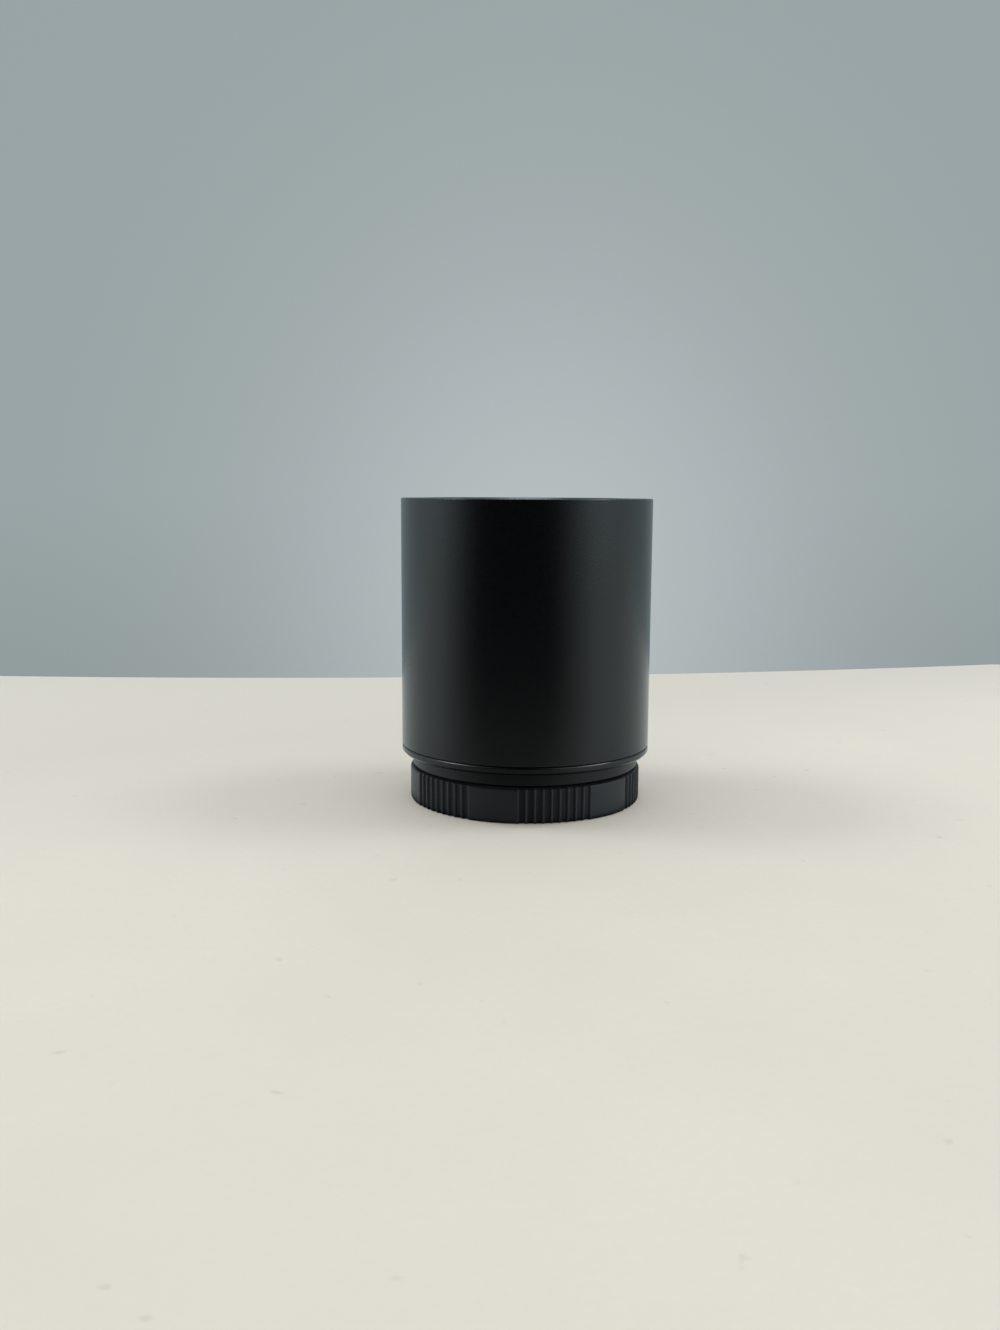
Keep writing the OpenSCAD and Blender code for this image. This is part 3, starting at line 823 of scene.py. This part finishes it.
def matt_finish(name, tint):
    """Matt black paint with a dusty grain."""
    f = Finish(name, Metallic=0.0, IOR=1.4)
    grain, cloud = f.noise(5000.0, 3.0, 0.6), f.noise(200.0, 3.0)
    f.set("Base Color", f.blend(f.span(grain, 0.0, 1.0, 0.35, 0.68), scaled(tint, 0.6), scaled(tint, 1.6)))
    f.set("Roughness", f.sum(f.span(grain, 0.72, 0.9), f.span(cloud, -0.04, 0.04)))
    f.relief(grain, 0.3, 0.00005)
    return f.material


def metal_finish(name, tint, low, high):
    """Bare or blackened metal: turning lines and stains over a metallic shader."""
    f = Finish(name, Metallic=1.0)
    rings, stain = f.lines(9000.0), f.noise(500.0, 4.0, 0.6)
    f.set("Base Color", f.blend(f.span(stain, 0.0, 0.8), tint, scaled(tint, 0.6)))
    f.set("Roughness", f.sum(f.span(rings, low, high), f.span(stain, -0.04, 0.06)))
    f.relief(rings, 0.12, 0.00003)
    return f.material


def coated_finish(name, tint, index, film):
    """Lens glass with a thin coating of the given thickness in nanometres, and the faintest smears."""
    f = Finish(
        name, Metallic=0.0, IOR=index, Transmission_Weight=1.0, Thin_Film_Thickness=film, Thin_Film_IOR=1.38
    )
    smear = f.noise(160.0, 4.0, 0.6)
    f.set("Base Color", f.blend(f.span(smear, 0.0, 1.0), tint, scaled(tint, 0.985)))
    f.set("Roughness", f.span(smear, 0.0, 0.018, 0.5, 0.8))
    return f.material


def table_finish(name, tint):
    """Painted board: soft mottling, a few specks and a painted shadow behind the object to its left.

    Mirror rays see a painted reflection of it, cooler. Towards the sides of the dim corner in front they see
    it plain, and ahead it is dark, a painted shade, which fades with the distance d from the axis as exp(-d /
    fade). Close to the cap's foot they see a painted contact shadow all round.
    """
    # Distances from the axis in metres: the painted contact shadow begins and ends, and the painted shade
    # ahead ends
    contact_in, contact_out, ahead_out, fade = 0.0240, 0.0264, 0.085, 0.060
    dark = scaled(tint, 0.005)
    shade_side = (-0.5, 0.87, 0.0)
    f = Finish(name, Metallic=0.0, IOR=1.45)
    mottle, fine, speck = f.noise(14.0, 5.0, 0.6), f.noise(700.0, 3.0, 0.6), f.noise(260.0, 2.0, 0.4)
    base = f.blend(f.span(mottle, 0.0, 1.0), scaled(tint, 0.97), scaled(tint, 1.03))
    # Painted shadow of the object, on the board behind it to its left
    behind = f.vector("DOT_PRODUCT", f.place, shade_side, "Value")
    base = f.blend(f.span(behind, 0.0, 1.0, 0.0, 0.08), base, scaled(tint, 0.88))
    base = f.blend(f.span(fine, 0.0, 0.3), base, scaled(tint, 0.95))
    base = f.blend(f.span(speck, 0.0, 0.35, 0.72, 0.80), base, scaled(tint, 0.6))
    flat = f.vector("MULTIPLY", f.place, (1.0, 1.0, 0.0))
    away = f.vector("DOT_PRODUCT", f.vector("NORMALIZE", flat, flat), AWAY, "Value")
    distance = f.vector("LENGTH", flat, flat, "Value")
    near = f.sum(f.sum(distance, -fade, "DIVIDE"), operation="EXPONENT")
    # What mirror rays see is a painted reflection of the board: cooler, with painted shade ahead
    cool = tuple(value * factor for value, factor in zip(tint, (0.88, 1.0, 1.1)))
    clear = f.sum(near, f.span(distance, 0.0, 1.0, contact_in, ahead_out), "MULTIPLY")
    ahead = f.blend(clear, dark, cool)
    side = f.span(f.sum(away, f.sum(near, 0.5, "MULTIPLY")), 0.0, 1.0, -0.82, -0.30)
    mirrored = f.blend(side, ahead, cool)
    # Painted contact shadow round the cap's foot, seen by mirror rays
    mirrored = f.blend(f.span(distance, 0.0, 1.0, contact_in, contact_out), dark, mirrored)
    glossy = f.node("ShaderNodeLightPath").outputs["Is Glossy Ray"]
    f.set("Base Color", f.blend(glossy, base, mirrored))
    f.set("Roughness", f.span(fine, 0.62, 0.75))
    f.relief(fine, 0.08, 0.0001)
    return f.material


def room(wall, glow, level):
    """World: a level light all round, with the wall for the camera and glass, and the room for mirror rays.

    The wall has a painted glow, a pool of light behind the object, which fades as exp(-q), where q is the
    squared distance of the direction from the glow's middle, in X and Z, each over its own width. Low down
    the wall is darker, a painted shade where it meets the table. Mirror rays see a dim corner in front and
    bright sides, by how far the direction points away from that corner. The ceiling has a round bright
    place, and the left side is a little dimmer.
    """
    world = bpy.data.worlds.new("room")
    world.use_nodes = True
    g = Graph(world.node_tree)
    way = g.node("ShaderNodeTexCoord").outputs["Generated"]
    path = g.node("ShaderNodeLightPath").outputs
    middle, width, height = (0.015, 1.0, -0.085), 0.22, 0.27
    offset = g.vector("MULTIPLY", g.vector("SUBTRACT", way, middle), (1 / width, 0.0, 1 / height))
    square = g.vector("DOT_PRODUCT", offset, offset, "Value")
    fade = g.sum(g.sum(square, -1.0, "MULTIPLY"), operation="EXPONENT")
    axes = g.axes(way)
    # Painted shade: the wall is darker below the level
    plain = g.blend(g.span(axes["Z"], 0.0, 1.0, -0.15, 0.0), scaled(wall, 0.87), wall)
    # Painted glow on the wall behind the object
    backdrop = g.blend(g.sum(fade, g.span(axes["Y"], 0.0, 1.0, 0.0, 0.5), "MULTIPLY"), plain, glow)
    flat = g.vector("MULTIPLY", way, (1.0, 1.0, 0.0))
    # The small addend keeps straight up and down from being divided by nought
    level_part = g.sum(g.sum(g.vector("DOT_PRODUCT", flat, flat, "Value"), 0.02), operation="SQRT")
    away = g.sum(g.vector("DOT_PRODUCT", way, AWAY, "Value"), level_part, "DIVIDE")
    mirror = g.node("ShaderNodeValToRGB")
    ramp = mirror.color_ramp
    # Places from the dim corner to the far side, and how bright the room is there
    stops = [
        (0.0, 0.004), (0.06, 0.015), (0.13, 0.14), (0.22, 0.72), (0.34, 1.25), (0.46, 1.25), (0.6, 0.85),
        (0.78, 0.62), (0.88, 0.46), (1.0, 0.37),
    ]
    while len(ramp.elements) < len(stops):
        ramp.elements.new(0.5)
    for element, (position, value) in zip(ramp.elements, stops):
        element.position = position
        element.color = (0.80 * value, value, 1.06 * value, 1)
    g.join(g.span(away, 0.0, 1.0, -1.0, 1.0), mirror.inputs["Fac"])
    ceiling = g.span(g.vector("DOT_PRODUCT", way, CEILING, "Value"), 1.0, 9.0, 0.95, 1.0)
    ceiling = g.sum(ceiling, g.span(axes["X"], 0.84, 1.0, -0.9, -0.2), "MULTIPLY")
    bright = g.node("ShaderNodeVectorMath", operation="SCALE")
    g.join(mirror.outputs["Color"], bright.inputs[0])
    g.join(ceiling, bright.inputs["Scale"])
    lit = g.blend(path["Is Glossy Ray"], (level, level, level), bright.outputs["Vector"])
    seen = g.sum(path["Is Camera Ray"], path["Is Transmission Ray"], "MAXIMUM")
    g.join(g.blend(seen, lit, backdrop), g.tree.nodes["Background"].inputs["Color"])
    return world


# Operators

class PieceOperator:
    """What the operators share."""

    bl_options = {"REGISTER", "UNDO"}

    def settings(self, context):
        return context.scene.teleconverter


class TELECONVERTER_OT_barrel(PieceOperator, bpy.types.Operator):
    """Build the barrel with its front thread and the set screw in its wall"""

    bl_idname = "teleconverter.barrel"
    bl_label = "Barrel"

    def execute(self, context):
        settings = self.settings(context)
        s, tint = in_mm(settings.barrel), settings.finish
        blasted = blasted_finish("blasted_anodising", tint.barrel, tint.worn_highlight)
        add_piece("barrel_tube", barrel_shape(s), [blasted], "main_barrel")
        steel = metal_finish("blackened_steel", tint.steel, 0.3, 0.45)
        add_piece("set_screw", set_screw_shape(s), [steel], "mount_grub_screw")
        return {"FINISHED"}


class TELECONVERTER_OT_mount(PieceOperator, bpy.types.Operator):
    """Build the rear mount with its flange, neck and thread"""

    bl_idname = "teleconverter.mount"
    bl_label = "Rear mount"

    def execute(self, context):
        settings = self.settings(context)
        s, tint = in_mm(settings.barrel), settings.finish
        finish = turned_finish("turned_anodising", tint.mount, tint.worn_highlight)
        neck = turned_finish("neck_anodising", tint.mount, tint.worn_highlight, low=0.3, high=0.42, shine=0.38)
        add_piece("screw_mount", mount_shape(s), [finish, neck], "rear_mount")
        return {"FINISHED"}


class TELECONVERTER_OT_cap(PieceOperator, bpy.types.Operator):
    """Build the ribbed rear cap"""

    bl_idname = "teleconverter.cap"
    bl_label = "Rear cap"

    def execute(self, context):
        settings = self.settings(context)
        s, t = in_mm(settings.cap), in_mm(settings.barrel)
        shape = cap_shape(s, t.pitch, t.groove_mouth, t.groove_depth)
        plastic = moulded_finish("moulded_plastic", settings.finish.cap)
        add_piece("ribbed_cap", shape, [plastic], "rear_cap", body="rear_cap")
        return {"FINISHED"}


class TELECONVERTER_OT_cell(PieceOperator, bpy.types.Operator):
    """Build the lens cell and the slotted rings that hold it and the glass"""

    bl_idname = "teleconverter.cell"
    bl_label = "Lens cell and rings"

    def execute(self, context):
        settings = self.settings(context)
        s, g, tint = in_mm(settings.barrel), in_mm(settings.lenses), settings.finish
        front_r, rear_r = g.front_glass / 2, g.rear_glass / 2
        finish = turned_finish("cell_anodising", tint.cell, tint.worn_highlight, 0.34, 0.48, 0.22)
        paint = matt_finish("ring_black", tint.matt)
        # The web stands between the two pairs of glass, and a ring's thread is a step wider than its glass
        web_width, thread_step, thread_spare = 1.6, 1.0, 0.2
        front_seat, rear_seat = front_r + GLASS_FIT, rear_r + GLASS_FIT
        front_wall, rear_wall = front_r + thread_step, rear_r + thread_step
        front_step, rear_step = FRONT_RING_Z - thread_spare, REAR_RING_TOP_Z + thread_spare
        nose, drum = s.ledge / 2 - FREE, s.cell_bore / 2 - SLIP
        web_r = rear_r - web_width
        web_top = node_heights("seat_ring")[0]
        web_foot = g.poles[4] - g.faces[4] + math.sqrt(g.faces[4] ** 2 - web_r**2)
        cell = outline([
            (nose, CELL_FOOT_Z, CRISP), (nose, DRUM_FOOT_Z, CRISP),
            (drum, DRUM_FOOT_Z, CRISP), (drum, CELL_TOP_Z, 0.15),
            (front_wall, CELL_TOP_Z, 0.15), (front_wall, front_step, CRISP),
            (front_seat, front_step, CRISP), (front_seat, web_top, CRISP),
            (web_r, web_top, CRISP), (web_r, web_foot, CRISP),
            (rear_seat, web_foot, CRISP), (rear_seat, rear_step, CRISP),
            (rear_wall, rear_step, CRISP), (rear_wall, CELL_FOOT_Z, 0.1),
        ])[0]
        add_piece("cell_drum", turned(cell), [finish], "lens_cell")
        slot_width, slot_depth = 1.4, 0.8
        lock_width, lock_bevel, lock_land = 3.4, 1.2, 1.4
        overhang, lip, flare, rear_width = 0.4, 0.4, 0.8, 1.4
        tail_width, tail_bevel = 2.9, 1.2
        lock_out = s.front_bore / 2 - SLIP
        lock_in = lock_out - lock_width
        front_out, front_in = front_wall - SLIP, front_r - g.edge_flat - overhang
        rear_out, rear_in = rear_wall - SLIP, rear_r - rear_width
        tail_seat = s.rear_bore / 2 + SEAT_STEP
        tail_out, tail_in = tail_seat - SLIP, tail_seat - tail_width
        rings = [
            ("lock_ring", "cell_lock_ring", "cell_anodised", finish, LOCK_TOP_Z - slot_depth, 1, [
                (lock_in, CELL_TOP_Z, CRISP), (lock_out, CELL_TOP_Z, CRISP), (lock_out, LOCK_TOP_Z, 0.12),
                (lock_in + lock_bevel, LOCK_TOP_Z, 0.1), (lock_in, CELL_TOP_Z + lock_land, 0.08),
            ]),
            ("front_glass_ring", "front_retaining_ring", "cell_anodised", finish,
             FRONT_RING_TOP_Z - slot_depth, 1, [
                (front_in, FRONT_RING_Z, CRISP), (front_out, FRONT_RING_Z, CRISP),
                (front_out, FRONT_RING_TOP_Z, 0.1), (front_r, FRONT_RING_TOP_Z, 0.1),
                (front_in, FRONT_RING_Z + lip, 0.06),
            ]),
            ("rear_glass_ring", "rear_retaining_ring", "cell_anodised", finish,
             REAR_RING_Z + slot_depth, -1, [
                (rear_in + flare, REAR_RING_Z, 0.1), (rear_out, REAR_RING_Z, 0.1),
                (rear_out, REAR_RING_TOP_Z, CRISP), (rear_in, REAR_RING_TOP_Z, CRISP),
                (rear_in, REAR_RING_TOP_Z - lip, 0.06),
            ]),
            ("tail_baffle", "rear_baffle_ring", "matt_black", paint, TAIL_RING_Z + slot_depth, -1, [
                (tail_in + tail_bevel, TAIL_RING_Z, 0.1), (tail_out, TAIL_RING_Z, 0.1),
                (tail_out, TAIL_RING_TOP_Z, CRISP), (tail_in, TAIL_RING_TOP_Z, CRISP),
                (tail_in, TAIL_RING_TOP_Z - lip, 0.06),
            ]),
        ]
        for name, node, slot, coat, level, side, corners in rings:
            add_piece(name, slotted(outline(corners)[0], slot_width, level, side), [coat], node)
        return {"FINISHED"}


class TELECONVERTER_OT_lenses(PieceOperator, bpy.types.Operator):
    """Build the four coated lens elements with their blackened edges"""

    bl_idname = "teleconverter.lenses"
    bl_label = "Lens elements"

    def execute(self, context):
        settings = self.settings(context)
        s, tint = in_mm(settings.lenses), settings.finish
        front_r, rear_r = s.front_glass / 2, s.rear_glass / 2
        front_clear, rear_clear = front_r - s.edge_flat, rear_r - s.edge_flat
        ink = matt_finish("edge_ink", tint.matt)
        violet = coated_finish("violet_coating", tint.glass, 1.62, 118.0)
        amber = coated_finish("amber_coating", tint.glass, 1.55, 96.0)
        p, f = s.poles, s.faces
        # Name, CAD node, glass, radius, and the bend and reach of the upper and of the lower face
        elements = [
            ("front_lens", "front_element", violet, front_r, (1, front_clear), (-1, front_clear)),
            ("second_lens", "second_element", amber, front_r, (-1, front_r), (-1, front_clear)),
            ("third_lens", "third_element", amber, rear_r, (-1, rear_r), (-1, rear_clear)),
            ("rear_lens", "rear_element", violet, rear_r, (-1, rear_r), (1, rear_r)),
        ]
        for number, (name, node, glass, radius, upper, lower) in enumerate(elements):
            top, bottom = 2 * number, 2 * number + 1
            shape = lens_shape(radius, (p[top], f[top], *upper), (p[bottom], f[bottom], *lower))
            add_piece(name, shape, [glass, ink], node, crease=25.0)
        return {"FINISHED"}


class TELECONVERTER_OT_baffles(PieceOperator, bpy.types.Operator):
    """Build the baffle tube with its light traps, and paint the small rings that stay as CAD pieces"""

    bl_idname = "teleconverter.baffles"
    bl_label = "Baffles and spacers"

    def execute(self, context):
        settings = self.settings(context)
        s, tint = in_mm(settings.barrel), settings.finish
        paint = matt_finish("baffle_black", tint.matt)
        wall, washer_width, tube_ease = 3.25, 4.95, 0.1
        out_r = s.spigot / 2
        in_r, washer_in = out_r - wall, out_r - washer_width
        pitch, mouth, depth, margin, e = 1.5, 1.1, 0.9, 0.7, 0.04
        count = int((TUBE_TOP_Z - TUBE_FOOT_Z - margin) / pitch)
        traps = [
            corner
            for z in TUBE_FOOT_Z + margin + pitch * np.arange(count)[::-1]
            for corner in ((in_r, z + mouth, e), (in_r + depth, z + mouth, e), (in_r, z, e))
        ]
        tube = outline([
            (in_r, TUBE_FOOT_Z, tube_ease), (out_r, TUBE_FOOT_Z, tube_ease),
            (out_r, TUBE_TOP_Z, tube_ease), (in_r, TUBE_TOP_Z, tube_ease), *traps,
        ])[0]
        add_piece("trap_tube", turned(tube), [paint], "baffle_tube")
        washer = outline([
            (washer_in, WASHER_Z, CRISP), (out_r, WASHER_Z, CRISP), (out_r, TUBE_FOOT_Z, CRISP),
            (washer_in, TUBE_FOOT_Z, CRISP),
        ])[0]
        add_piece("trap_washer", turned(washer), [paint], "baffle_washer")
        brass = metal_finish("shim_brass", tint.brass, 0.25, 0.4)
        kept = {"cell_shim": brass, "front_spacer": paint, "seat_ring": paint, "rear_spacer": paint}
        for node, finish in kept.items():
            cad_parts[node].data.materials[0] = finish
        return {"FINISHED"}


class TELECONVERTER_OT_stage(PieceOperator, bpy.types.Operator):
    """Set up the table, the room's light, two soft lamps and the camera"""

    bl_idname = "teleconverter.stage"
    bl_label = "Stage"

    def execute(self, context):
        scene, s = context.scene, self.settings(context).stage
        scene.view_settings.view_transform = "Standard"
        scene.world = room(s.wall, s.glow, s.room)
        self.table(scene, in_mm(s), table_finish("painted_table", s.table))
        lamp_x, lamp_y, lamp_z, lamp_size = 0.45, 0.06, 0.60, 0.24
        for name, x in (("left_lamp", -lamp_x), ("right_lamp", lamp_x)):
            self.lamp(scene, name, (x, lamp_y, lamp_z), lamp_size, s.side_lamp)
        self.camera(scene, s)
        return {"FINISHED"}

    def table(self, scene, s, finish):
        """Table top: a line across, carried along Y and rounded over at a slightly bowed back edge."""
        half, front, edge, drop = 1600.0, -1600.0, 4.0, 40.0
        # The back edge runs askew and bows out over this half width, and straight on beyond it
        bent, slope, bow = 170.0, 0.137, 0.00049
        top_rows, edge_rows, bent_columns = 24, 8, 41
        t = np.linspace(0, math.pi / 2, edge_rows)
        back = np.concatenate([np.linspace(front, -edge, top_rows), edge * np.sin(t[1:]) - edge, [0.0]])
        z = np.concatenate([np.zeros(top_rows), edge * (np.cos(t[1:]) - 1), [-drop]])
        x = np.concatenate([[-half], np.linspace(-bent, bent, bent_columns), [half]])
        near = np.clip(x, -bent, bent)
        y = back[:, None] + s.table_back + slope * near + bow * near**2
        points = np.stack(np.broadcast_arrays(x, y, z[:, None]), axis=-1)
        quads = grid_cells(np.arange(points.shape[0] * points.shape[1]).reshape(points.shape[:2]))
        mesh = bpy.data.meshes.new("table")
        mesh.from_pydata((points * MM).reshape(-1, 3).tolist(), [], quads.reshape(-1, 4).tolist())
        mesh.shade_smooth()
        mesh.materials.append(finish)
        table = bpy.data.objects.new("table", mesh)
        scene.collection.objects.link(table)

    def lamp(self, scene, name, place, size, power):
        """Square soft lamp, aimed at the object's middle."""
        data = bpy.data.lights.new(name, "AREA")
        data.energy, data.size, data.color = power, size, (0.95, 1.0, 0.99)
        lamp = bpy.data.objects.new(name, data)
        lamp.location = place
        aim = Vector((0.0, 0.0, 0.03)) - lamp.location
        lamp.rotation_euler = aim.to_track_quat("-Z", "Y").to_euler()
        scene.collection.objects.link(lamp)

    def camera(self, scene, s):
        """Camera at the photograph's place: turned about Z, tilted down and leaned about its own axis."""
        data = bpy.data.cameras.new("camera")
        data.lens, data.sensor_width, data.sensor_fit = s.lens, 36.0, "AUTO"
        data.clip_start, data.clip_end = 0.01, 20.0
        camera = bpy.data.objects.new("camera", data)
        turn = Matrix.Rotation(s.yaw, 4, "Z") @ Matrix.Rotation(math.pi / 2 - s.pitch, 4, "X")
        turn = turn @ Matrix.Rotation(s.roll, 4, "Z")
        camera.matrix_world = Matrix.Translation((0.0, -s.distance, s.height)) @ turn
        scene.collection.objects.link(camera)
        scene.camera = camera


OPERATORS = (
    TELECONVERTER_OT_barrel,
    TELECONVERTER_OT_mount,
    TELECONVERTER_OT_cap,
    TELECONVERTER_OT_cell,
    TELECONVERTER_OT_lenses,
    TELECONVERTER_OT_baffles,
    TELECONVERTER_OT_stage,
)


class TELECONVERTER_PT_panel(bpy.types.Panel):
    """Sidebar panel with the settings and the operators."""

    bl_idname = "TELECONVERTER_PT_panel"
    bl_label = "Teleconverter"
    bl_space_type = "VIEW_3D"
    bl_region_type = "UI"
    bl_category = "Teleconverter"

    def draw(self, context):
        layout, settings = self.layout, context.scene.teleconverter
        for operator in OPERATORS:
            layout.operator(operator.bl_idname)
        for group in ("barrel", "cap", "lenses", "finish", "stage"):
            box = layout.box()
            box.label(text=group.capitalize())
            values = getattr(settings, group)
            for key in values.__annotations__:
                box.prop(values, key)


CLASSES = (
    BarrelSettings,
    CapSettings,
    LensSettings,
    FinishSettings,
    StageSettings,
    TeleconverterSettings,
    *OPERATORS,
    TELECONVERTER_PT_panel,
)


def register():
    for item in CLASSES:
        bpy.utils.register_class(item)
    bpy.types.Scene.teleconverter = PointerProperty(type=TeleconverterSettings)


def unregister():
    del bpy.types.Scene.teleconverter
    for item in reversed(CLASSES):
        bpy.utils.unregister_class(item)


def main():
    register()
    bpy.ops.teleconverter.barrel()
    bpy.ops.teleconverter.mount()
    bpy.ops.teleconverter.cap()
    bpy.ops.teleconverter.cell()
    bpy.ops.teleconverter.lenses()
    bpy.ops.teleconverter.baffles()
    bpy.ops.teleconverter.stage()


if __name__ == "__main__":
    main()
